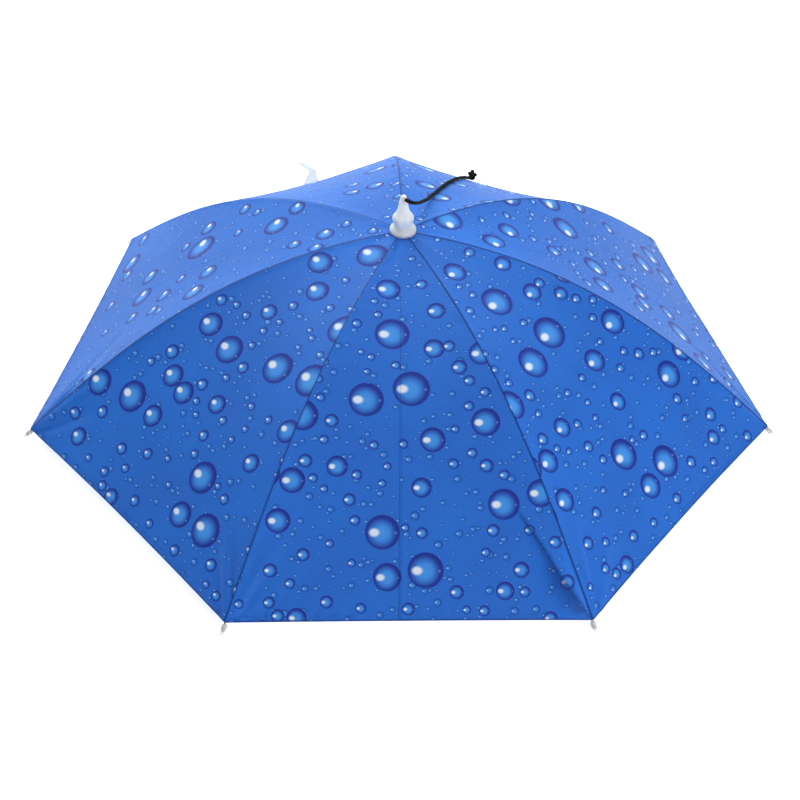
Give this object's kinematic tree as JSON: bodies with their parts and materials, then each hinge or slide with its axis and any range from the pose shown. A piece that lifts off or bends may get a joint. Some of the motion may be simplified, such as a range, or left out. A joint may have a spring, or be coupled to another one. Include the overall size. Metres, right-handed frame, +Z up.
{
  "type": "umbrella hat",
  "caption": "Open umbrella worn as a hat: cloth panels with a raindrop print on steel ribs, a white finial with a pull cord, and an elastic headband on a small frame below.",
  "frame": {"origin": "middle of the footprint, on the plane that the rib tips rest on", "axes": "+Z up along the hub's axis, -Y to the hat's front, where one panel faces forward; the hub's axis stands 19.4 mm in front of the origin"},
  "size_m": [0.7674, 0.7482, 0.2372],
  "materials": {
    "canopy_cloth": "blue polyester with a raindrop print, pale silver coating on the inside",
    "strap_cloth": "the same cloth with its pale coated side showing",
    "white_plastic": "milky white moulded plastic, slightly translucent",
    "black_plastic": "black moulded plastic, satin",
    "steel_wire": "drawn and zinc plated",
    "elastic_band": "black woven elastic",
    "cord_braid": "black braided polyester cord"
  },
  "bodies": {
    "root": {"finial": "white_plastic", "hub": "white_plastic", "shaft": "white_plastic", "runner": "white_plastic", "crown_plate": "black_plastic", "headband": "elastic_band", "head_arm_1": "black_plastic", "head_arm_2": "black_plastic", "head_arm_3": "black_plastic", "head_arm_4": "black_plastic", "canopy_panel_1": "canopy_cloth", "canopy_panel_2": "canopy_cloth", "canopy_panel_3": "canopy_cloth", "canopy_panel_4": "canopy_cloth", "canopy_panel_5": "canopy_cloth", "canopy_panel_6": "canopy_cloth", "canopy_panel_7": "canopy_cloth", "rib_1": "steel_wire", "rib_2": "steel_wire", "rib_3": "steel_wire", "rib_4": "steel_wire", "rib_5": "steel_wire", "rib_6": "steel_wire", "rib_7": "steel_wire", "rib_tip_1": "white_plastic", "rib_tip_2": "white_plastic", "rib_tip_3": "white_plastic", "rib_tip_4": "white_plastic", "rib_tip_5": "white_plastic", "rib_tip_6": "white_plastic", "rib_tip_7": "white_plastic", "stretcher_1": "steel_wire", "stretcher_2": "steel_wire", "stretcher_3": "steel_wire", "stretcher_4": "steel_wire", "stretcher_5": "steel_wire", "stretcher_6": "steel_wire", "stretcher_7": "steel_wire", "rib_clip_1": "white_plastic", "rib_clip_2": "white_plastic", "rib_clip_3": "white_plastic", "rib_clip_4": "white_plastic", "rib_clip_5": "white_plastic", "rib_clip_6": "white_plastic", "rib_clip_7": "white_plastic", "pull_cord": "cord_braid", "cord_knot": "cord_braid", "tie_strap": "strap_cloth"}
  },
  "joints": []
}
